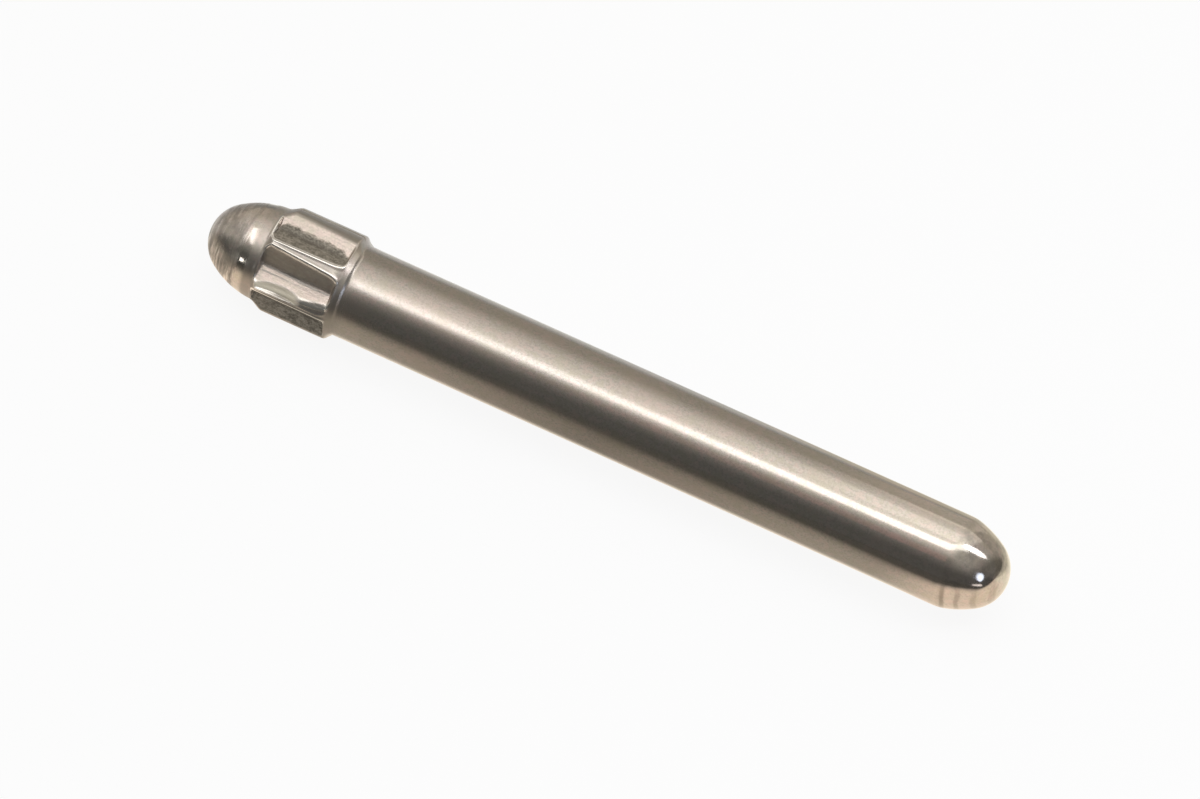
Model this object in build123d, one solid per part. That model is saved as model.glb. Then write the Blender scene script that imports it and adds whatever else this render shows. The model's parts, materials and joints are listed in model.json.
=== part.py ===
"""Pawl pin: one piece of steel, turned, ground, and pressed to a serrated band behind its nose.

The band grips a drilled hole, and a locking pawl turns on the plain shaft beside it.
Millimetres and degrees. The pin lies along X, with its nose towards -X. The origin is on its
axis, at the shoulder where the shaft meets the band. One flute of the band faces straight
down, so the pin lies on that flute's two edges and does not roll.
"""
import os
from math import atan2, cos, pi, radians, sin, sqrt, tan

from build123d import *

# Shaft, the length that the pawl turns on
shaft_diameter = 6.0
shaft_length = 41.6

# Plain end, a bullet point that starts at a faint edge
end_edge_angle = 12.0
end_side_radius = 7.1
end_tip_radius = 2.5
end_edge_rounding = 0.8

# Nose, a longer bullet point that leads the pin into its hole
nose_diameter = 6.1
nose_edge_angle = 1.5
nose_side_radius = 5.6
nose_tip_radius = 2.5

# Serrated band, raised above the shaft where the steel was pressed outwards
crest_diameter = 6.9
crest_length = 4.4
lead_in_length = 0.7
run_out_length = 0.4
band_rounding = 0.25

# Flutes of the band, pressed in from two opposite sides by a tool with three teeth
flutes_per_side = 3
flute_pitch_angle = 52.0
flute_flank_angle = 22.5
flute_depth_at_nose = 0.85
flute_depth_at_shaft = 0.72
flute_root_rounding = 0.3
flute_end_rounding = 0.45
flute_short_of_nose = 0.1
flute_short_of_shaft = 0.3
rib_edge_break = 0.05

shaft_radius = shaft_diameter / 2
nose_radius = nose_diameter / 2
crest_radius = crest_diameter / 2

crest_end_x = -run_out_length
crest_start_x = crest_end_x - crest_length
nose_base_x = crest_start_x - lead_in_length


def bullet_point(base_x, base_radius, edge_angle, side_radius, tip_radius, way):
    """Side arc and tip arc of a rounded end, which meet smoothly. Way is 1 for +X, -1 for -X.

    The side arc starts at an angle to the axis and its centre lies beyond the axis. The tip arc's
    centre is on the axis, where the two centres are as far apart as the radii differ.
    """
    lean = radians(edge_angle)
    side_centre_in = side_radius * sin(lean)
    side_centre_up = base_radius - side_radius * cos(lean)
    tip_centre_out = sqrt((side_radius - tip_radius) ** 2 - side_centre_up**2) - side_centre_in
    meet = atan2(tip_centre_out + side_centre_in, -side_centre_up)

    def on_side(turn):
        out = side_radius * sin(turn) - side_centre_in
        return base_x + way * out, side_centre_up + side_radius * cos(turn)

    def on_tip(turn):
        return base_x + way * (tip_centre_out + tip_radius * sin(turn)), tip_radius * cos(turn)

    side = ThreePointArc(on_side(lean), on_side((lean + meet) / 2), on_side(meet))
    tip = ThreePointArc(on_side(meet), on_tip((meet + pi / 2) / 2), on_tip(pi / 2))
    return side, tip


def pin_blank():
    """The turned pin with a smooth raised band, before its flutes are pressed."""
    with BuildPart() as blank:
        with BuildSketch(Plane.XZ) as half_section:
            with BuildLine():
                nose_side, nose_tip = bullet_point(
                    nose_base_x, nose_radius, nose_edge_angle, nose_side_radius, nose_tip_radius, -1
                )
                lead_in = Line(nose_side @ 0, (crest_start_x, crest_radius))
                crest = Line(lead_in @ 1, (crest_end_x, crest_radius))
                run_out = Line(crest @ 1, (0, shaft_radius))
                shaft = Line(run_out @ 1, (shaft_length, shaft_radius))
                end_side, end_tip = bullet_point(
                    shaft_length, shaft_radius, end_edge_angle, end_side_radius, end_tip_radius, 1
                )
                Line(nose_tip @ 1, end_tip @ 1)
            make_face()
            band_corners = [lead_in @ 0, lead_in @ 1, run_out @ 0, run_out @ 1]
            fillet([nearest_corner(half_section, place) for place in band_corners], band_rounding)
            fillet(nearest_corner(half_section, shaft @ 1), end_edge_rounding)
        revolve(axis=Axis.X)
    return blank.part


def nearest_corner(sketch, place):
    """The corner of the half section that lies at a place given along X and outwards."""
    target = Vector(place.X, place.Y, 0)
    return min(sketch.sketch_local.vertices(), key=lambda corner: (Vector(corner) - target).length)


def tooth_section(x, depth):
    """The press tool's V tooth, cut across at one place along the pin, with its edge rounded.

    It is as wide as the band, so that its flanks leave the steel before they end.
    """
    root = crest_radius - depth
    half_width = crest_radius
    shoulder = root + half_width * tan(radians(flute_flank_angle))
    top = shoulder + crest_radius
    with BuildSketch(Plane((x, 0, 0), x_dir=(0, 1, 0), z_dir=(1, 0, 0))) as section:
        with BuildLine():
            Polyline(
                (0, root),
                (half_width, shoulder),
                (half_width, top),
                (-half_width, top),
                (-half_width, shoulder),
                close=True,
            )
        make_face()
        fillet(section.vertices().group_by(Axis.Z)[0], flute_root_rounding)
    return section.sketch


def flute_tooth():
    """One whole tooth above the pin, a little shallower towards the shaft, with rounded ends."""
    nose_x = nose_base_x + flute_short_of_nose
    shaft_x = -flute_short_of_shaft
    sections = [tooth_section(nose_x, flute_depth_at_nose), tooth_section(shaft_x, flute_depth_at_shaft)]
    tooth = loft(sections, ruled=True)
    across = tooth.faces().group_by(Axis.X)
    outlines = across[0].edges() + across[-1].edges()
    v_edges = outlines.filter_by(Axis.Y, reverse=True).filter_by(Axis.Z, reverse=True)
    return fillet(v_edges, flute_end_rounding)


def rib_edges(pin):
    """The edges that the flutes leave along the crests, which are the pin's widest round faces."""
    crests = pin.faces().filter_by(GeomType.CYLINDER).group_by(SortBy.RADIUS)[-1]
    return crests.edges().filter_by(GeomType.CIRCLE, reverse=True)


def pawl_pin():
    """The pin with its two opposite groups of flutes."""
    pin = pin_blank()
    tooth = flute_tooth()
    for side in (0, 180):
        for step in range(flutes_per_side):
            pin -= Rot(X=side + step * flute_pitch_angle) * tooth
    return chamfer(rib_edges(pin), rib_edge_break)


os.makedirs("parts", exist_ok=True)
export_step(pawl_pin(), "parts/pawl_pin.step")
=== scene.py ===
import json
from math import cos, pi, radians, sin

import bpy
from mathutils import Matrix, Vector


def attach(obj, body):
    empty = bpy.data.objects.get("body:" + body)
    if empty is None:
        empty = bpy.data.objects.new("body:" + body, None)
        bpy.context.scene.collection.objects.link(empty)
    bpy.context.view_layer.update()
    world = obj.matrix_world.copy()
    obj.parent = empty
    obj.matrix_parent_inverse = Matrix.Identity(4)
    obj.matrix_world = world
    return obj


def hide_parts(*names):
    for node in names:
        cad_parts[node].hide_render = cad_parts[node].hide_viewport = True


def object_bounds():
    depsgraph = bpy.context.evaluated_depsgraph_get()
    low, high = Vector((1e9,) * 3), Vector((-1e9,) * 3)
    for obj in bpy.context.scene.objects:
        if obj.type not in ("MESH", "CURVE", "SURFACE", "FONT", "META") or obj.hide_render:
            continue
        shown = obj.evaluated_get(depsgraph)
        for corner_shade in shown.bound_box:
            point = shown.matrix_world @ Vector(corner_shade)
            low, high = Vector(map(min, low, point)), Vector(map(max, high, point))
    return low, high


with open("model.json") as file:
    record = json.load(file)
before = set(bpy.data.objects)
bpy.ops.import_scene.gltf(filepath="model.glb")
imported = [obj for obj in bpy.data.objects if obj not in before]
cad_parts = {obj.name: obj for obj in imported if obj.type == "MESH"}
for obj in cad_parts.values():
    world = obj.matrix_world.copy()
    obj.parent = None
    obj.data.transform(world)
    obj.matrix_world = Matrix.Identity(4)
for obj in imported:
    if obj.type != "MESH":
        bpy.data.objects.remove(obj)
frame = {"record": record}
cad_low, cad_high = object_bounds()

# The pin. One piece of steel: the blank is turned and ground between two wheels, and a tool with
# three teeth then presses the flutes into its raised band from two opposite sides.
mm = 0.001
shaft_mount = frame["record"]["mounts"][0]

pin_sizes = {
    "Shaft Radius": shaft_mount["dims"]["r_mm"] * mm,
    "Shaft Length": 41.6 * mm,
    "End Edge Angle": radians(12),
    "End Edge Rounding": 3.0 * mm,
    "End Side Radius": 7.1 * mm,
    "End Tip Radius": 2.5 * mm,
    "Nose Radius": 3.05 * mm,
    "Nose Edge Angle": radians(1.5),
    "Nose Side Radius": 5.6 * mm,
    "Nose Tip Radius": 2.5 * mm,
    "Crest Radius": 3.45 * mm,
    "Crest Length": 4.4 * mm,
    "Lead In Length": 0.7 * mm,
    "Run Out Length": 0.4 * mm,
    "Band Rounding": 0.12 * mm,
    "Middle Flute Angle": radians(53),
    "Pitch At Nose": radians(53),
    "Pitch At Shaft": radians(50.4),
    "Flank Angle": radians(22.5),
    "Root Rounding": radians(2.2),
    "Depth At Nose": 0.84 * mm,
    "Depth At Shaft": 0.67 * mm,
    "Middle Deeper": 0.1 * mm,
    "Flute Short Of Nose": 0.15 * mm,
    "Flute Short Of Shaft": 0.5 * mm,
    "End Wall Slope": 4.5,
    "End Rounding": 0.7 * mm,
    "Rim Rounding": 0.07 * mm,
    "Lip Height": 0.052 * mm,
    "Lip Width": 0.145 * mm,
    "Pushed To Nose": 0.35 * mm,
    "Pushed To Shaft": 0.35 * mm,
    "Slip Reach": 2.97 * mm,
    "Slip Bend": 0.06 / mm,
    "Slip Wall Reach": 1.47 * mm,
}


class Field:
    """A number that nodes work out at each point, so that its sums read as plain arithmetic."""

    def __init__(self, socket):
        self.socket = socket

    def __add__(self, other):
        return worked_out("ADD", self, other)

    def __radd__(self, other):
        return worked_out("ADD", other, self)

    def __sub__(self, other):
        return worked_out("SUBTRACT", self, other)

    def __rsub__(self, other):
        return worked_out("SUBTRACT", other, self)

    def __mul__(self, other):
        return worked_out("MULTIPLY", self, other)

    def __rmul__(self, other):
        return worked_out("MULTIPLY", other, self)

    def __truediv__(self, other):
        return worked_out("DIVIDE", self, other)


def worked_out(operation, *values, clamp=False):
    """One Math node, in the tree that its fields belong to."""
    tree = next(value.socket.node.id_data for value in values if isinstance(value, Field))
    node = tree.nodes.new("ShaderNodeMath")
    node.operation = operation
    node.use_clamp = clamp
    for socket, value in zip(node.inputs, values):
        if isinstance(value, Field):
            tree.links.new(value.socket, socket)
        else:
            socket.default_value = value
    return Field(node.outputs[0])


def bullet_point(base_radius, edge_angle, side_radius, tip_radius):
    """How far the centre of a rounded end's side arc lies back from its base and out from the
    axis, and the angle at which its side arc and tip arc meet smoothly."""
    side_centre_in = side_radius * worked_out("SINE", edge_angle)
    side_centre_up = base_radius - side_radius * worked_out("COSINE", edge_angle)
    between = side_radius - tip_radius
    across = worked_out("SQRT", between * between - side_centre_up * side_centre_up)
    meet = worked_out("ARCTAN2", across, 0 - side_centre_up)
    return side_centre_in, side_centre_up, meet


def share_done(counter, start, count):
    """0 before a stretch of rings or columns, 1 after it, and the share done within it."""
    return worked_out("DIVIDE", counter - start, count, clamp=True)


def arc_step(radius, turn, turn_from):
    """How far an arc has gone along the pin and outwards, between two turns of its normal."""
    along = radius * (worked_out("SINE", turn) - worked_out("SINE", turn_from))
    outward = radius * (worked_out("COSINE", turn) - worked_out("COSINE", turn_from))
    return along, outward


def eased(value, start, stop):
    """0 before start, 1 after stop and a smooth rise between."""
    tree = value.socket.node.id_data
    node = tree.nodes.new("ShaderNodeMapRange")
    node.interpolation_type = "SMOOTHSTEP"
    tree.links.new(value.socket, node.inputs["Value"])
    node.inputs["From Min"].default_value = start
    node.inputs["From Max"].default_value = stop
    return Field(node.outputs["Result"])


pin_tree = bpy.data.node_groups.new("pin_shape", "GeometryNodeTree")
pin_tree.interface.new_socket(name="Geometry", in_out="OUTPUT", socket_type="NodeSocketGeometry")
size_sockets = {
    name: pin_tree.interface.new_socket(name=name, in_out="INPUT", socket_type="NodeSocketFloat")
    for name in pin_sizes
}
material_socket = pin_tree.interface.new_socket(
    name="Steel", in_out="INPUT", socket_type="NodeSocketMaterial"
)
pin_inputs = pin_tree.nodes.new("NodeGroupInput")
size = {name: Field(pin_inputs.outputs[name]) for name in pin_sizes}

# Rings of the mesh, from the tip of the nose to the plain tip, and columns round one half turn
nose_tip_rings, nose_side_rings, band_rings, shaft_rings = 20, 22, 106, 14
edge_rings, end_side_rings, end_tip_rings = 6, 22, 18
rings = nose_tip_rings + nose_side_rings + band_rings + shaft_rings
rings += edge_rings + end_side_rings + end_tip_rings
flutes_per_side = 3
flute_columns, rib_columns, land_columns = 46, 14, 34
half_turn_columns = (
    flutes_per_side * flute_columns + (flutes_per_side - 1) * rib_columns + land_columns
)
columns = 2 * half_turn_columns

grid = pin_tree.nodes.new("GeometryNodeMeshGrid")
grid.inputs["Vertices X"].default_value = rings + 1
grid.inputs["Vertices Y"].default_value = columns + 1
index = Field(pin_tree.nodes.new("GeometryNodeInputIndex").outputs[0])
ring = worked_out("FLOOR", (index + 0.5) / (columns + 1))
column = index - ring * (columns + 1)

# Along the axis: nose, band, shaft and plain end, each stretch adding its own step
crest_end_x = 0 - size["Run Out Length"]
crest_start_x = crest_end_x - size["Crest Length"]
nose_base_x = crest_start_x - size["Lead In Length"]
band_margin = 0.6 * mm
band_from_x = nose_base_x - band_margin
band_to_x = 0.3 * mm

nose_in, nose_up, nose_meet = bullet_point(
    size["Nose Radius"], size["Nose Edge Angle"], size["Nose Side Radius"], size["Nose Tip Radius"]
)
nose_turn_at_band = worked_out("ARCSINE", (nose_in + band_margin) / size["Nose Side Radius"])
tip_turn = pi / 2 + (nose_meet - pi / 2) * share_done(ring, 0, nose_tip_rings)
nose_side_share = share_done(ring, nose_tip_rings, nose_side_rings)
side_turn = nose_meet + (nose_turn_at_band - nose_meet) * nose_side_share
tip_along, tip_outward = arc_step(size["Nose Tip Radius"], tip_turn, nose_meet)
side_along, side_outward = arc_step(size["Nose Side Radius"], side_turn, nose_turn_at_band)
rings_before = nose_tip_rings + nose_side_rings

crowding = 0.62  # the band's rings crowd towards both ends of the flutes
band_share = share_done(ring, rings_before, band_rings)
crowded = band_share - worked_out("SINE", band_share * (2 * pi)) * (crowding / (2 * pi))
band_x = band_from_x + (band_to_x - band_from_x) * crowded
rings_before += band_rings

end_in, end_up, end_meet = bullet_point(
    size["Shaft Radius"], size["End Edge Angle"], size["End Side Radius"], size["End Tip Radius"]
)
edge_up = size["Shaft Radius"] - size["End Edge Rounding"] - end_up
edge_between = size["End Side Radius"] - size["End Edge Rounding"]
edge_across = worked_out("SQRT", edge_between * edge_between - edge_up * edge_up)
edge_meet = worked_out("ARCTAN2", edge_across, edge_up)
edge_start_x = size["Shaft Length"] - end_in + edge_across
shaft_along = (edge_start_x - band_to_x) * share_done(ring, rings_before, shaft_rings)
rings_before += shaft_rings

x = band_x - tip_along - side_along + shaft_along
round_radius = tip_outward + side_outward
for radius, turn_from, turn_to, count in (
    (size["End Edge Rounding"], 0, edge_meet, edge_rings),
    (size["End Side Radius"], edge_meet, end_meet, end_side_rings),
    (size["End Tip Radius"], end_meet, pi / 2, end_tip_rings),
):
    turn = turn_from + (turn_to - turn_from) * share_done(ring, rings_before, count)
    start_turn = turn_from + turn * 0  # worked out at each point too, as arc_step needs it
    end_along, end_outward = arc_step(radius, turn, start_turn)
    x = x + end_along
    round_radius = round_radius + end_outward
    rings_before += count


def band_base(place, between_flutes):
    """Radius of the blank under the band, before the flutes: nose, lead in, crest and run out.
    Between the flutes the press pushed the crest on towards the nose and the shaft."""
    out = nose_base_x - place + nose_in
    side_radius = size["Nose Side Radius"]
    nose = nose_up + worked_out("SQRT", side_radius * side_radius - out * out)
    raised = size["Crest Radius"] - size["Nose Radius"]
    lead_end_x = crest_start_x - size["Pushed To Nose"] * between_flutes
    lead_in = size["Crest Radius"] - (lead_end_x - place) * raised / (lead_end_x - nose_base_x)
    run_start_x = crest_end_x - size["Pushed To Shaft"] * between_flutes
    run_end_x = size["Pushed To Shaft"] * between_flutes
    run_slope = (size["Crest Radius"] - size["Shaft Radius"]) / (run_end_x - run_start_x)
    run_out = size["Shaft Radius"] + (run_end_x - place) * run_slope
    softened = size["Band Rounding"] * (1 + between_flutes)
    run_out = worked_out("SMOOTH_MAX", run_out, size["Shaft Radius"], softened)
    band = worked_out("SMOOTH_MIN", lead_in, size["Crest Radius"], size["Band Rounding"])
    band = worked_out("SMOOTH_MIN", band, run_out, softened)
    return worked_out("SMOOTH_MAX", nose, band, size["Band Rounding"] * (1 + between_flutes * 2))


# Round the axis: the columns follow the flutes' edges, which draw together towards the shaft
flute_from_x = nose_base_x + size["Flute Short Of Nose"]
flute_to_x = 0 - size["Flute Short Of Shaft"]
flute_x = worked_out("MAXIMUM", worked_out("MINIMUM", band_x, flute_to_x), flute_from_x)
flute_share = (flute_x - flute_from_x) / (flute_to_x - flute_from_x)
outer_base, inner_base = band_base(flute_x, 0), band_base(flute_x, 1)
pitch = size["Pitch At Nose"] + (size["Pitch At Shaft"] - size["Pitch At Nose"]) * flute_share
depth = size["Depth At Nose"] + (size["Depth At Shaft"] - size["Depth At Nose"]) * flute_share
flank_cosine = worked_out("COSINE", size["Flank Angle"])

centres, roots, edges = [], [], []
for step in range(flutes_per_side):
    centres.append(size["Middle Flute Angle"] + pitch * (step - 1))
    deeper = size["Middle Deeper"] * (1 - flute_share) * (step == 1)
    roots.append(size["Crest Radius"] - (depth + deeper))
    low_base = outer_base if step == 0 else inner_base
    high_base = outer_base if step == flutes_per_side - 1 else inner_base
    for way, edge_base in ((-1, low_base), (1, high_base)):
        edge_cosine = roots[step] * flank_cosine / edge_base
        half_width = worked_out("ARCCOSINE", edge_cosine) - size["Flank Angle"]
        edges.append(centres[step] + way * half_width)
edges.append(edges[0] + pi)
half_turn = worked_out("FLOOR", (column + 0.5) / half_turn_columns)
half_column = column - half_turn * half_turn_columns
angle = edges[0] + half_turn * pi
columns_before = 0
for number, (edge, next_edge) in enumerate(zip(edges, edges[1:])):
    if number % 2 == 0:
        count = flute_columns
    elif number < 2 * flutes_per_side - 1:
        count = rib_columns
    else:
        count = land_columns
    angle = angle + (next_edge - edge) * share_done(half_column, columns_before, count)
    columns_before += count


def turned_from(centre):
    """How far round from a centre line a point lies. The pin's two halves give the same."""
    return worked_out("WRAP", angle - centre, pi / 2, -pi / 2)


# The flutes: V sections with a rounded root, steep rounded ends and a lip pushed up round them.
# Dirt, painted shade and the lip at the nose differ between the upper, the middle and the lower
# flute.
flutes_dirt_and_shade, flutes_shaded, nose_lips = (1.0, 0.15, 1.3), (0.0, 1.0, 0.6), (1.5, 0.1, 0.4)
shaft_lip = 0.4
end_blend = 0.15 * mm
end_lip_spread = 0.6
land_softening = 3.5
flank_soil = 0.74
ribs_end, lips_end, land_start = radians(54), radians(60), radians(74)
from_middle = worked_out("ABSOLUTE", turned_from(size["Middle Flute Angle"]))
between_flutes = 1 - eased(from_middle, ribs_end, land_start)
by_ribs = 1 - eased(from_middle, lips_end, land_start)
base = band_base(band_x, between_flutes)
# The rings of the band end on the plain shaft, so the pushed ribs come down to it before that
base = base + (size["Shaft Radius"] - base) * eased(band_x, 0.0, band_to_x)
pressed = base
lips, soil_and_shade, painted_shade = 0, 0, 0
for centre, root, dirt_and_shade_weight, shaded, nose_lip in zip(
    centres, roots, flutes_dirt_and_shade, flutes_shaded, nose_lips
):
    off_centre = turned_from(centre)
    root_rounding = size["Root Rounding"]
    rounded_off = worked_out("SQRT", off_centre * off_centre + root_rounding * root_rounding)
    opening = worked_out("MAXIMUM", worked_out("COSINE", rounded_off + size["Flank Angle"]), 0.1)
    flank = root * flank_cosine / opening
    beyond = worked_out("MAXIMUM", flute_from_x - band_x, band_x - flute_to_x)
    end_wall = root + beyond * size["End Wall Slope"]
    tooth = worked_out("SMOOTH_MAX", flank, end_wall, size["End Rounding"])
    in_end = eased(end_wall - flank, -end_blend, end_blend)
    lip_spread = 1 + in_end * (size["End Wall Slope"] - 1) * end_lip_spread
    from_rim = (tooth - base) / (size["Lip Width"] * lip_spread)
    end_lip = nose_lip + (shaft_lip - nose_lip) * eased(flute_share, 0.3, 0.7)
    lip = worked_out("EXPONENT", 0 - from_rim * from_rim) * (1 + in_end * (end_lip - 1))
    lips = lips + lip * by_ribs
    rim_rounding = size["Rim Rounding"] * (1 + (1 - by_ribs) * land_softening)
    pressed = worked_out("SMOOTH_MIN", pressed, tooth, rim_rounding)
    pressed_in = worked_out("MAXIMUM", base - tooth, 0) / size["Depth At Nose"]
    lower_flank = eased(off_centre, 0.0, 0.08) * eased(pressed_in, 0.02, 0.1)
    # Dirt in each flute; in the lower flute its heavier weight is partly painted shade
    soil_and_shade = soil_and_shade + (pressed_in + (flank_soil - pressed_in) * lower_flank) * dirt_and_shade_weight
    # Painted shade on each flute's upper flank, most in the middle flute
    painted_shade = painted_shade + eased(pressed_in, 0.04, 0.12) * (1 - eased(off_centre, -0.06, 0.02)) * shaded

# The tool slipped along the middle flute's lower flank: a shallow second groove, which fades in the
# middle, with a ridge of pushed steel where it meets the flank
slip_middle_x = -4.0 * mm
slip_floor_angle, slip_wall_angle = radians(55), radians(15)
slip_rounding, slip_fade_rounding = 0.06 * mm, 0.05 * mm
slip_fade_rise, slip_fade_slope = 0.13 * mm, 0.025
scrape_fades_x, scrape_ends_x = -2.6 * mm, -1.9 * mm
ridge_width, ridge_share = 0.1 * mm, 0.45
off_slip = band_x - slip_middle_x
slip_reach = size["Slip Reach"] + off_slip * off_slip * size["Slip Bend"]
most_reach = size["Slip Reach"] + slip_fade_rise - band_x * slip_fade_slope
slip_reach = worked_out("SMOOTH_MIN", slip_reach, most_reach, slip_fade_rounding)
slip_floor = slip_reach / worked_out("COSINE", angle - slip_floor_angle)
wall_cosine = worked_out("COSINE", angle - slip_wall_angle)
slip_wall = size["Slip Wall Reach"] / worked_out("MAXIMUM", wall_cosine, 0.2)
slipped = eased(angle, radians(57), radians(61)) * (1 - eased(angle, radians(86), radians(90)))
slipped = slipped * (1 - eased(band_x, -0.5 * mm, -0.15 * mm))
slipped = slipped * eased(band_x, -5.6 * mm, -5.3 * mm)
slip = worked_out("SMOOTH_MAX", slip_floor, slip_wall, slip_rounding) + (1 - slipped) * mm
from_ridge = (slip - pressed) / ridge_width
lips = lips + worked_out("EXPONENT", 0 - from_ridge * from_ridge) * ridge_share
scraped = eased(pressed - slip, -0.03 * mm, 0.02 * mm)
scraped = scraped * (1 - eased(band_x, scrape_fades_x, scrape_ends_x))
# Where the slip's wall meets its floor: a corner marked for painted shade
in_corner = eased(slip_wall - slip_floor, -0.03 * mm, 0.02 * mm)
in_corner = in_corner * eased(pressed - slip, -0.01 * mm, 0.02 * mm)
pressed = worked_out("SMOOTH_MIN", pressed, slip, slip_rounding)

depth_pressed = worked_out("DIVIDE", base - pressed, depth, clamp=True)
radius = round_radius + pressed + lips * size["Lip Height"]

place = pin_tree.nodes.new("ShaderNodeCombineXYZ")
for socket, value in zip(
    place.inputs,
    (x, 0 - radius * worked_out("SINE", angle), radius * worked_out("COSINE", angle)),
):
    pin_tree.links.new(value.socket, socket)
set_place = pin_tree.nodes.new("GeometryNodeSetPosition")
pin_tree.links.new(grid.outputs["Mesh"], set_place.inputs["Geometry"])
pin_tree.links.new(place.outputs[0], set_place.inputs["Position"])


def stored(geometry, name, value):
    """The geometry with a number kept at each point, for the finish to read."""
    node = pin_tree.nodes.new("GeometryNodeStoreNamedAttribute")
    node.data_type = "FLOAT"
    node.domain = "POINT"
    node.inputs["Name"].default_value = name
    pin_tree.links.new(geometry, node.inputs["Geometry"])
    pin_tree.links.new(value.socket, node.inputs["Value"])
    return node.outputs["Geometry"]


kept = set_place.outputs["Geometry"]
for name, value in (
    ("flute_depth", depth_pressed),
    ("rim", worked_out("MINIMUM", lips, 1.0)),
    ("soil_and_shade", soil_and_shade),
    ("painted_shade", painted_shade),
    ("scraped", scraped * (1 - in_corner)),
    ("corner_shade", in_corner),
):
    kept = stored(kept, name, value)
weld = pin_tree.nodes.new("GeometryNodeMergeByDistance")
weld.inputs["Distance"].default_value = 0.0002 * mm
outward = pin_tree.nodes.new("GeometryNodeFlipFaces")
smooth = pin_tree.nodes.new("GeometryNodeSetShadeSmooth")
realize = pin_tree.nodes.new("GeometryNodeRealizeInstances")
finish = pin_tree.nodes.new("GeometryNodeSetMaterial")
pin_output = pin_tree.nodes.new("NodeGroupOutput")
pin_tree.links.new(kept, weld.inputs["Geometry"])
pin_tree.links.new(weld.outputs["Geometry"], outward.inputs["Mesh"])
pin_tree.links.new(outward.outputs["Mesh"], smooth.inputs["Geometry"])
pin_tree.links.new(smooth.outputs["Geometry"], realize.inputs["Geometry"])
pin_tree.links.new(realize.outputs["Geometry"], finish.inputs["Geometry"])
pin_tree.links.new(pin_inputs.outputs["Steel"], finish.inputs["Material"])
pin_tree.links.new(finish.outputs["Geometry"], pin_output.inputs["Geometry"])

steel = bpy.data.materials.new("satin_steel")
steel.use_nodes = True
steel_tree = steel.node_tree
steel_shader = steel_tree.nodes["Principled BSDF"]


def kept_number(name):
    """A number that the pin's shape left at each point."""
    node = steel_tree.nodes.new("ShaderNodeAttribute")
    node.attribute_name = name
    return Field(node.outputs["Fac"])


place_on_pin = steel_tree.nodes.new("ShaderNodeTexCoord").outputs["Object"]
spread = steel_tree.nodes.new("ShaderNodeSeparateXYZ")
steel_tree.links.new(place_on_pin, spread.inputs["Vector"])
along_mm = Field(spread.outputs["X"]) * 1000


def mottle(per_mm_along, per_mm_across, detail=4, roughness=0.55, shift=0.0):
    """Noise from 0 to 1 with its spots sized by how many lie in a millimetre."""
    stretch = steel_tree.nodes.new("ShaderNodeMapping")
    across = per_mm_across / mm
    stretch.inputs["Scale"].default_value = (per_mm_along / mm, across, across)
    stretch.inputs["Location"].default_value = (shift, shift, shift)
    steel_tree.links.new(place_on_pin, stretch.inputs["Vector"])
    node = steel_tree.nodes.new("ShaderNodeTexNoise")
    node.inputs["Scale"].default_value = 1
    node.inputs["Detail"].default_value = detail
    node.inputs["Roughness"].default_value = roughness
    steel_tree.links.new(stretch.outputs["Vector"], node.inputs["Vector"])
    return Field(node.outputs["Fac"])


def on_stretch(start, full_from, full_to, stop):
    """1 on a stretch of the pin, given in millimetres along it, fading to 0 at its two ends."""
    return eased(along_mm, start, full_from) * (1 - eased(along_mm, full_to, stop))


def tinted(colour, share, other):
    """A colour moved towards another one by a share that varies from place to place."""
    tree = share.socket.node.id_data
    node = tree.nodes.new("ShaderNodeMix")
    node.data_type = "RGBA"
    for end, value in (("A", colour), ("B", other)):
        if isinstance(value, bpy.types.NodeSocket):
            tree.links.new(value, node.inputs[end])
        else:
            node.inputs[end].default_value = (*value, 1)
    tree.links.new(share.socket, node.inputs["Factor"])
    return node.outputs["Result"]


clean_steel = (0.53, 0.495, 0.455)
pressed_steel = (0.64, 0.555, 0.50)
rubbed_steel_and_highlight = (0.92, 0.885, 0.83)
scraped_steel = (0.93, 0.90, 0.79)
dull_steel_and_shade = (0.33, 0.31, 0.285)
olive_film = (0.50, 0.465, 0.39)
rose_film = (0.60, 0.50, 0.455)
dark_streak_and_shade = (0.19, 0.18, 0.165)
green_dirt_and_shade = (0.30, 0.28, 0.225)
packed_dirt_and_shade = (0.14, 0.125, 0.10)
fine_grain = mottle(6.0, 7.0, detail=3, roughness=0.65)
fine_tints = mottle(2.0, 2.4, detail=4, roughness=0.65, shift=37)
soft_patches = mottle(0.55, 0.7, detail=6, roughness=0.6, shift=3)
wide_patches = mottle(0.22, 0.35, detail=3, shift=41)
turned_streaks = mottle(4.5, 0.5, detail=6, roughness=0.65, shift=7)
nose_patches = mottle(1.3, 1.1, detail=5, roughness=0.6, shift=13)
dirt_crumbs = mottle(2.2, 4.2, detail=6, roughness=0.7, shift=11)
grinding = mottle(14.0, 0.35, detail=2, shift=17)
press_marks = mottle(0.15, 7.0, detail=3, shift=23)
fine_crumbs = mottle(7.0, 9.0, detail=3, shift=29)
flute = kept_number("flute_depth")
rim = eased(kept_number("rim"), 0.25, 0.75)
soil_and_shade = kept_number("soil_and_shade")
scraped, corner_shade = kept_number("scraped"), kept_number("corner_shade")
rim = rim * (1 - scraped)
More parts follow.
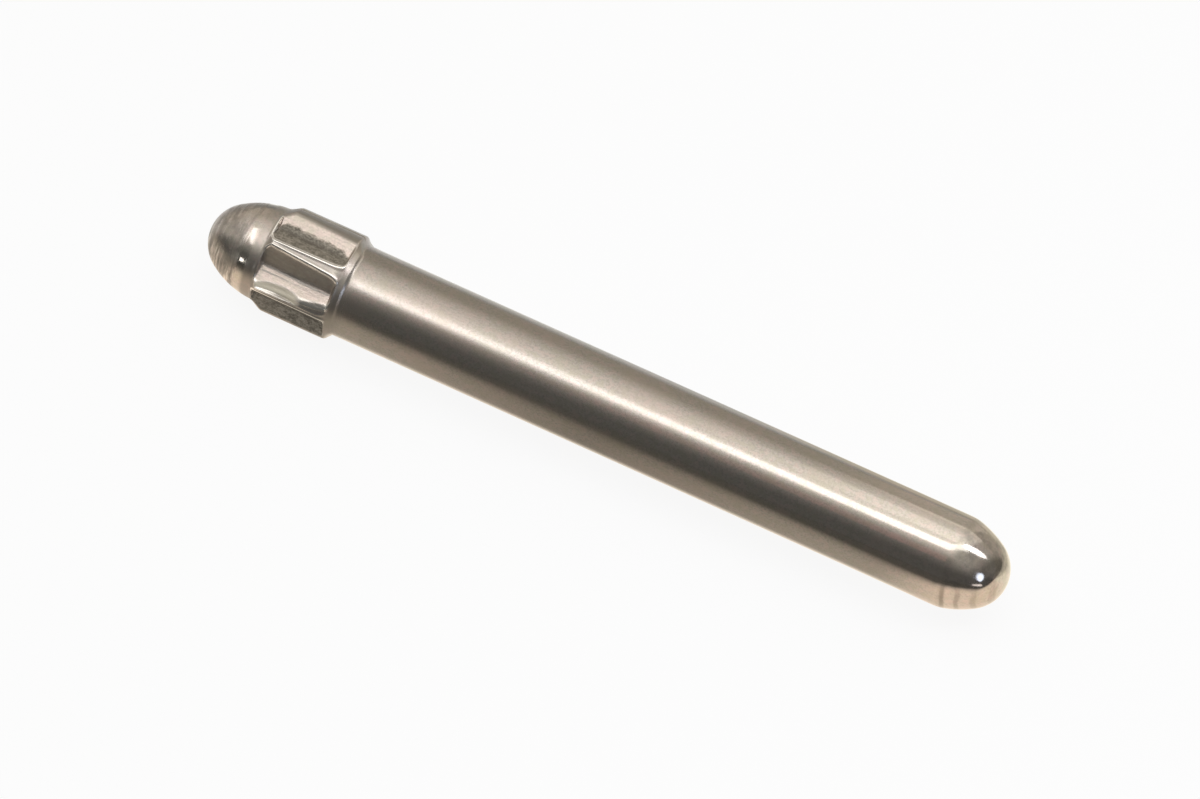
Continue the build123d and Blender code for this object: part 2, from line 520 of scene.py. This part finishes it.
# Painted shade: the flutes' upper flanks and the slip's corner
painted_shade = kept_number("painted_shade") * (1 - rim) * (1 - scraped) + corner_shade
low = 1 - eased(Field(spread.outputs["Z"]), 0.2 * mm, 1.4 * mm)
lower_half = 1 - eased(Field(spread.outputs["Z"]), 1.4 * mm, 2.4 * mm)
on_nose = 1 - eased(along_mm + (nose_patches - 0.5) * 0.3, -6.95, -6.7)
on_neck = on_stretch(-6.9, -6.7, -6.35, -6.1)
on_band = on_stretch(-5.6, -5.3, -1.1, -0.6)
on_lead_in = on_stretch(-6.5, -6.1, -5.5, -5.2)
on_run_out = on_stretch(-1.0, -0.6, 0.1, 0.9)
on_plain_end = eased(along_mm, 41.4, 41.9)
on_edge = on_stretch(41.4, 41.7, 41.8, 42.1)

in_flute = eased(flute, 0.03, 0.2)
# Streaks on the nose, heavier on its lower side: handling marks, and on that side partly a painted
# reflection of the table
streaks_and_reflection = on_nose * (0.3 + low * 0.7)
worn = on_band * (1 - in_flute) * 0.45 + in_flute * eased(press_marks, 0.45, 0.7) * 0.3
root_stripes = eased(flute, 0.74, 0.84) * eased(press_marks, 0.4, 0.54) * (1 - painted_shade)
# Dirt in the flutes, which in the lower flute is partly painted shade
dirt_and_shade = eased(soil_and_shade + (dirt_crumbs - 0.5) * 0.4, 0.56, 0.74)
packed = 0.22 + eased(flute, 0.84, 0.96) * 0.55 + eased(dirt_crumbs, 0.42, 0.58) * 0.6
packed = worked_out("ADD", packed, (fine_crumbs - 0.5) * 2.5, clamp=True)
scuff_x, scuff_spacing = 41.85, 0.88
off_scuff = along_mm + (wide_patches - 0.5) * 0.8 - scuff_x
crossing = worked_out("COSINE", off_scuff * (2 * pi / scuff_spacing))
scuffs = on_plain_end * low * eased(crossing, 0.1, 0.95) * (1 - eased(along_mm, 41.9, 44) * 0.5)

# Each layer of colour lies over those before it, by its share
colour = clean_steel
for share, layer in (
    (in_flute * (1 - painted_shade), pressed_steel),
    (eased(fine_grain, 0.46, 0.6) * 0.42, dull_steel_and_shade),
    (eased(fine_tints, 0.48, 0.62) * 0.6, rose_film),
    ((1 - eased(fine_tints, 0.4, 0.52)) * 0.6, olive_film),
    (eased(soft_patches, 0.45, 0.66) * 0.5, olive_film),
    (eased(wide_patches, 0.46, 0.62) * 0.3, rose_film),
    (streaks_and_reflection * eased(turned_streaks, 0.48, 0.58) * 0.8, dark_streak_and_shade),
    (on_nose * eased(nose_patches, 0.48, 0.62) * 0.4, dark_streak_and_shade),
    (streaks_and_reflection * (1 - eased(turned_streaks, 0.34, 0.48)) * 0.75, rubbed_steel_and_highlight),
    (worn * (1 - rim), dull_steel_and_shade),
    # Painted shade on the flutes' upper flanks and in the slip's corner, in the dark dirt colour
    (painted_shade * (0.62 + (fine_tints - 0.5) * 0.5), packed_dirt_and_shade),
    (root_stripes * 0.9, dull_steel_and_shade),
    (dirt_and_shade * 0.8, green_dirt_and_shade),
    (dirt_and_shade * packed, packed_dirt_and_shade),
    (scraped * 0.85, scraped_steel),
    # Painted shade: a darker ring on the shoulder where the band runs out to the shaft
    (on_run_out * (1 - in_flute) * 0.28, dull_steel_and_shade),
    # Painted shade: the lower half of the band's lead-in is darkened
    (on_lead_in * lower_half * (1 - in_flute) * 0.6, dark_streak_and_shade),
    # The raised lips are rubbed bright, and their very light colour is partly a painted highlight
    (rim * 0.9, rubbed_steel_and_highlight),
    (scuffs * 0.5 + on_edge * 0.12, packed_dirt_and_shade),
    (on_plain_end * (1 - low) * eased(nose_patches, 0.45, 0.6) * 0.6, dull_steel_and_shade),
):
    colour = tinted(colour, share, layer)
steel_tree.links.new(colour, steel_shader.inputs["Base Color"])

least_rough = 0.06
rough = 0.22 + (fine_grain - 0.5) * 0.03 + (soft_patches - 0.5) * 0.04
rough = rough - eased(along_mm, 15, 41) * 0.1
rough = rough + on_nose * (0.1 + (turned_streaks - 0.5) * 0.4) - on_neck * 0.1
rough = rough + on_band * (1 - rim) * 0.12
rough = rough + on_edge * 0.06 - on_plain_end * 0.01 + dirt_and_shade * 0.2 - rim * 0.08 + scraped * 0.4
rough = rough + on_run_out * 0.08 + on_lead_in * 0.14
rough = worked_out("MAXIMUM", rough, least_rough)
steel_tree.links.new(rough.socket, steel_shader.inputs["Roughness"])
steel_tree.links.new((1 - dirt_and_shade * 0.7 - painted_shade * 0.3).socket, steel_shader.inputs["Metallic"])

relief = steel_tree.nodes.new("ShaderNodeBump")
relief.inputs["Strength"].default_value = 1
relief.inputs["Distance"].default_value = mm
height = fine_grain * 0.0003 + soft_patches * 0.0011 + grinding * 0.0002
height = height + on_nose * (turned_streaks * 0.02 + nose_patches * 0.03)
height = height + on_band * press_marks * 0.01
height = height + in_flute * dirt_crumbs * 0.02 + dirt_and_shade * 0.015
steel_tree.links.new(height.socket, relief.inputs["Height"])
steel_tree.links.new(relief.outputs["Normal"], steel_shader.inputs["Normal"])

pin_maker = bpy.data.objects.new("pin_maker", bpy.data.meshes.new("pin_maker"))
bpy.context.scene.collection.objects.link(pin_maker)
modifier = pin_maker.modifiers.new("pin_shape", "NODES")
modifier.node_group = pin_tree
for name, value in pin_sizes.items():
    modifier[size_sockets[name].identifier] = value
modifier[material_socket.identifier] = steel

depsgraph = bpy.context.evaluated_depsgraph_get()
pin_mesh = bpy.data.meshes.new_from_object(
    pin_maker.evaluated_get(depsgraph), preserve_all_data_layers=True, depsgraph=depsgraph
)
bpy.data.objects.remove(pin_maker)
pin_mesh.name = "steel_pin"
pin_mesh.materials.clear()
pin_mesh.materials.append(steel)
pin = bpy.data.objects.new("steel_pin", pin_mesh)
bpy.context.scene.collection.objects.link(pin)
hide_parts("pawl_pin")
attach(pin, "root")

# The floor: matt white paper, level under the pin. Camera and mirror rays see it partly as plain
# white, so it looks white where the light is weaker and still keeps the pin's soft shadow.
floor_z = cad_low.z
floor_reach = 4.0
paper_colour = (0.87, 0.9, 0.94, 1)
plain_white_share = 0.9


def level_sheet(name, low_x, high_x, low_y, high_y, z):
    """A flat rectangle that faces up."""
    corners = [(low_x, low_y, z), (high_x, low_y, z), (high_x, high_y, z), (low_x, high_y, z)]
    mesh = bpy.data.meshes.new(name)
    mesh.from_pydata(corners, [], [(0, 1, 2, 3)])
    sheet = bpy.data.objects.new(name, mesh)
    bpy.context.scene.collection.objects.link(sheet)
    return sheet


def empty_material(name):
    """A new material with nothing in its tree but the output."""
    material = bpy.data.materials.new(name)
    material.use_nodes = True
    material.node_tree.nodes.clear()
    return material, material.node_tree, material.node_tree.nodes.new("ShaderNodeOutputMaterial")


floor = level_sheet("floor", -floor_reach, floor_reach, -floor_reach, floor_reach, floor_z)
paper, paper_tree, paper_output = empty_material("white_paper")
matt = paper_tree.nodes.new("ShaderNodeBsdfDiffuse")
matt.inputs["Color"].default_value = paper_colour
plain_white = paper_tree.nodes.new("ShaderNodeEmission")
light_path = paper_tree.nodes.new("ShaderNodeLightPath").outputs
seen = Field(light_path["Is Camera Ray"]) + Field(light_path["Is Glossy Ray"])
seen = worked_out("ADD", seen, Field(light_path["Is Transmission Ray"]), clamp=True)
paper_mix = paper_tree.nodes.new("ShaderNodeMixShader")
paper_tree.links.new((seen * plain_white_share).socket, paper_mix.inputs["Fac"])
paper_tree.links.new(matt.outputs[0], paper_mix.inputs[1])
paper_tree.links.new(plain_white.outputs[0], paper_mix.inputs[2])
paper_tree.links.new(paper_mix.outputs[0], paper_output.inputs["Surface"])
floor.data.materials.append(paper)

# The light: a soft glow overhead in a dim room, a lamp for each highlight on the shaft, the band
# and both ends, and a glowing card on the table round the pin, which only mirror rays see: a
# painted reflection of the table and room, its brightness set by place round the pin.
glow_tint, strip_tint = (1, 0.955, 0.89), (0.955, 0.95, 1)
front_tint, rear_tint = (1, 1, 0.96), (1, 0.92, 0.8)
room_front, room_rest = 0.12, 0.4
glow_level = 0.8

world = bpy.data.worlds.new("room")
bpy.context.scene.world = world
world.use_nodes = True
world_tree = world.node_tree
background = world_tree.nodes["Background"]
direction = world_tree.nodes.new("ShaderNodeSeparateXYZ")
world_tree.links.new(
    world_tree.nodes.new("ShaderNodeTexCoord").outputs["Generated"], direction.inputs["Vector"]
)
elevation = worked_out("ARCTAN2", Field(direction.outputs["Z"]), 0 - Field(direction.outputs["Y"]))
sideways = Field(direction.outputs["X"])
by_side = 1.55 - eased(sideways, -0.5, -0.25) * 0.55 + eased(sideways, 0.0, 0.3) * 0.35
by_side = by_side - eased(sideways, 0.56, 0.78) * 0.8
past_front = eased(elevation, radians(20), radians(70))
room = room_front + (room_rest * by_side - room_front) * past_front
glow = eased(elevation, radians(48), radians(78))
glow = glow * (1 - share_done(elevation, radians(84), radians(60)))
glow = glow * eased(sideways, -0.7, -0.52) * (1 - eased(sideways, 0.0, 0.5))
world_tree.links.new((room + glow * glow_level).socket, background.inputs["Strength"])
room_tint = tinted(front_tint, past_front, glow_tint)
room_tint = tinted(room_tint, eased(elevation, radians(110), radians(150)), rear_tint)
world_tree.links.new(room_tint, background.inputs["Color"])


def lamp(name, place, aim, width, length, radiance, tint, turn=0.0, shape="RECTANGLE"):
    """A soft flat lamp that faces a point. Its length lies along the pin, unless turned."""
    data = bpy.data.lights.new(name, "AREA")
    data.shape = shape
    data.size, data.size_y = length, width
    data.energy = radiance * pi * width * length
    data.color = tint
    lit = bpy.data.objects.new(name, data)
    bpy.context.scene.collection.objects.link(lit)
    back = (Vector(place) - Vector(aim)).normalized()
    along = Vector((cos(turn), sin(turn), 0))
    along = (along - back * along.dot(back)).normalized()
    across = back.cross(along)
    turned = Matrix((along, across, back)).transposed().to_4x4()
    lit.matrix_world = Matrix.Translation(place) @ turned
    lit.visible_camera = False
    return lit


# The long highlight on the shaft, its haze, and its end on the plain end's dome
lamp(
    "strip_lamp", (-0.035, -0.0745, 0.17), (-0.035, -0.075, 0),
    width=0.028, length=0.05, radiance=1.35, tint=strip_tint, turn=radians(40),
)
lamp(
    "end_strip", (0.0475, -0.0202, 0.17), (0.0475, -0.0212, 0),
    width=0.042, length=0.154, radiance=1.4, tint=strip_tint, turn=radians(28.5),
)
lamp(
    "dome_strip", (0.146, 0.044, 0.17), (0.146, 0.043, 0),
    width=0.047, length=0.115, radiance=2.8, tint=strip_tint, turn=radians(25), shape="ELLIPSE",
)
lamp(
    "strip_haze", (-0.06, -0.094, 0.17), (-0.06, -0.06, 0),
    width=0.05, length=0.1, radiance=0.2, tint=strip_tint, turn=radians(19.8),
)
# The white patch on the neck, and the light on the band
lamp(
    "neck_lamp", (-0.125, -0.045, 0.17), (-0.125, -0.046, 0),
    width=0.15, length=0.035, radiance=1.4, tint=strip_tint,
)
lamp(
    "band_lamp", (-0.0437, -0.0184, 0.15), (-0.0437, -0.019, 0),
    width=0.04, length=0.0325, radiance=0.5, tint=strip_tint,
)
# The warm glow over the pin's far side
lamp(
    "glow_lamp", (0.042, 0.034, 0.15), (0.042, 0.03, 0),
    width=0.095, length=0.08, radiance=0.28, tint=glow_tint,
)
lamp(
    "end_lamp", (0.062, 0.085, 0.15), (0.057, 0, 0),
    width=0.16, length=0.115, radiance=0.45, tint=glow_tint,
)
lamp(
    "rear_lamp", (0.045, 0.26, 0.1), (0.04, 0, 0),
    width=0.22, length=0.115, radiance=0.24, tint=(1, 0.93, 0.8),
)
# Coloured light on the plain end and along the shaft's near side
lamp(
    "blue_lamp", (0.207, -0.11, 0.079), (0.043, 0, 0),
    width=0.08, length=0.036, radiance=2.3, tint=(0.66, 0.78, 1), shape="ELLIPSE",
)
lamp(
    "low_lamp", (0.205, -0.147, 0.0), (0.043, 0, 0),
    width=0.034, length=0.055, radiance=1.3, tint=(1, 0.93, 0.93), shape="ELLIPSE",
)
lamp(
    "red_lamp", (0.006, -0.115, 0.13), (0.03, 0, 0),
    width=0.04, length=0.05, radiance=0.12, tint=(1, 0.45, 0.4),
)
# The small bright spot on the nose
lamp(
    "small_lamp", (-0.119, -0.166, 0.016), (-0.007, 0, 0),
    width=0.022, length=0.018, radiance=5.0, tint=(1, 1, 1),
)

# The card's glow is a painted reflection: dim in front of the pin, lighter behind it, and light
# just under it
card_reach = floor_reach + 0.2
card_z = floor_z + 0.02 * mm
card = level_sheet("painted_reflection_sheet", -card_reach, card_reach, -card_reach, card_reach, card_z)
card_material, card_tree, card_output = empty_material("painted_reflection_card")
card_glow = card_tree.nodes.new("ShaderNodeEmission")
card_place = card_tree.nodes.new("ShaderNodeSeparateXYZ")
place_on_card = card_tree.nodes.new("ShaderNodeTexCoord").outputs["Object"]
card_tree.links.new(place_on_card, card_place.inputs["Vector"])
deep, along = Field(card_place.outputs["Y"]), Field(card_place.outputs["X"])
card_middle_x, card_half_length = 0.017, 0.024
off_middle = worked_out("ABSOLUTE", (along - card_middle_x) / card_half_length)
off_middle = worked_out("MINIMUM", off_middle, 1.3)
near_ends = eased(off_middle, 0.8, 1.05) * eased(along, -0.013, -0.008)
brighter = 0.23 * eased(deep + near_ends * 0.004, -0.020, -0.004)
in_front = 0.115 + brighter * (1 + off_middle * 1.2 + near_ends * 2.3)
in_front = in_front * (0.4 + 0.6 * eased(along, -0.04, -0.016))
behind = 0.65 - 0.22 * eased(deep, 0.01, 0.05) + 0.5 * (1 - eased(deep, 0.006, 0.013))
near_limb = 1 - eased(deep, 0.009, 0.02)
by_length = 0.7 + 0.44 * eased(along, -0.013, -0.005)
by_length = by_length - 0.28 * eased(along, 0.01, 0.02) * near_limb + near_ends * 0.25
behind = behind * by_length
past_pin = eased(deep, -0.002, 0.004)
level = in_front + (behind - in_front) * past_pin
under_pin = eased(deep, -0.0031, -0.0016) * (1 - eased(off_middle, 0.92, 1.02))
under_pin = under_pin * (1 - eased(deep, 0.002, 0.004))
level = level + (1.2 - level) * under_pin
card_tree.links.new(level.socket, card_glow.inputs["Strength"])
near_tint = tinted((1, 0.9, 0.77), near_ends, (1, 0.84, 0.69))
card_tint = tinted((1, 0.97, 0.88), eased(deep, -0.03, -0.008), near_tint)
far_tint = tinted((1, 1, 0.98), eased(along, 0.02, 0.034), (1, 0.93, 0.78))
card_tint = tinted(card_tint, past_pin, far_tint)
card_tree.links.new(card_tint, card_glow.inputs["Color"])
card_tree.links.new(card_glow.outputs[0], card_output.inputs["Surface"])
card.data.materials.append(card_material)
card.visible_camera = False
card.visible_diffuse = False
card.visible_shadow = False
card.visible_transmission = False

# The camera: far off and above, through a long lens, turned so that the pin lies aslant in the
# picture, with its plain end a little nearer than its nose.
camera_towards_end = radians(10)
camera_height = radians(52)
camera_roll = radians(24.2)
pixels_per_mm = 16.2
photo_width, photo_height = 1200, 799
aim_x = 17.24 * mm
aim_pixel_x, aim_pixel_y = 601.8, 402.8

away = Vector(
    (
        sin(camera_towards_end),
        -cos(camera_towards_end) * cos(camera_height),
        cos(camera_towards_end) * sin(camera_height),
    )
)
level_right = (Vector((1, 0, 0)) - away * away.x).normalized()
level_up = away.cross(level_right)
right = level_right * cos(camera_roll) + level_up * sin(camera_roll)
up = away.cross(right)
aim_shift = (photo_width / 2 - aim_pixel_x) * right + (aim_pixel_y - photo_height / 2) * up
middle = Vector((aim_x, 0, 0)) + aim_shift * mm / pixels_per_mm

camera_data = bpy.data.cameras.new("camera")
camera_data.lens = 800
camera_data.sensor_width = 36
camera = bpy.data.objects.new("camera", camera_data)
bpy.context.scene.collection.objects.link(camera)
distance = photo_width * mm / pixels_per_mm * camera_data.lens / camera_data.sensor_width
turned = Matrix((right, up, away)).transposed().to_4x4()
camera.matrix_world = Matrix.Translation(middle + away * distance) @ turned
camera_data.clip_start = 0.1
camera_data.clip_end = 20
bpy.context.scene.camera = camera
bpy.context.scene.view_settings.view_transform = "Standard"
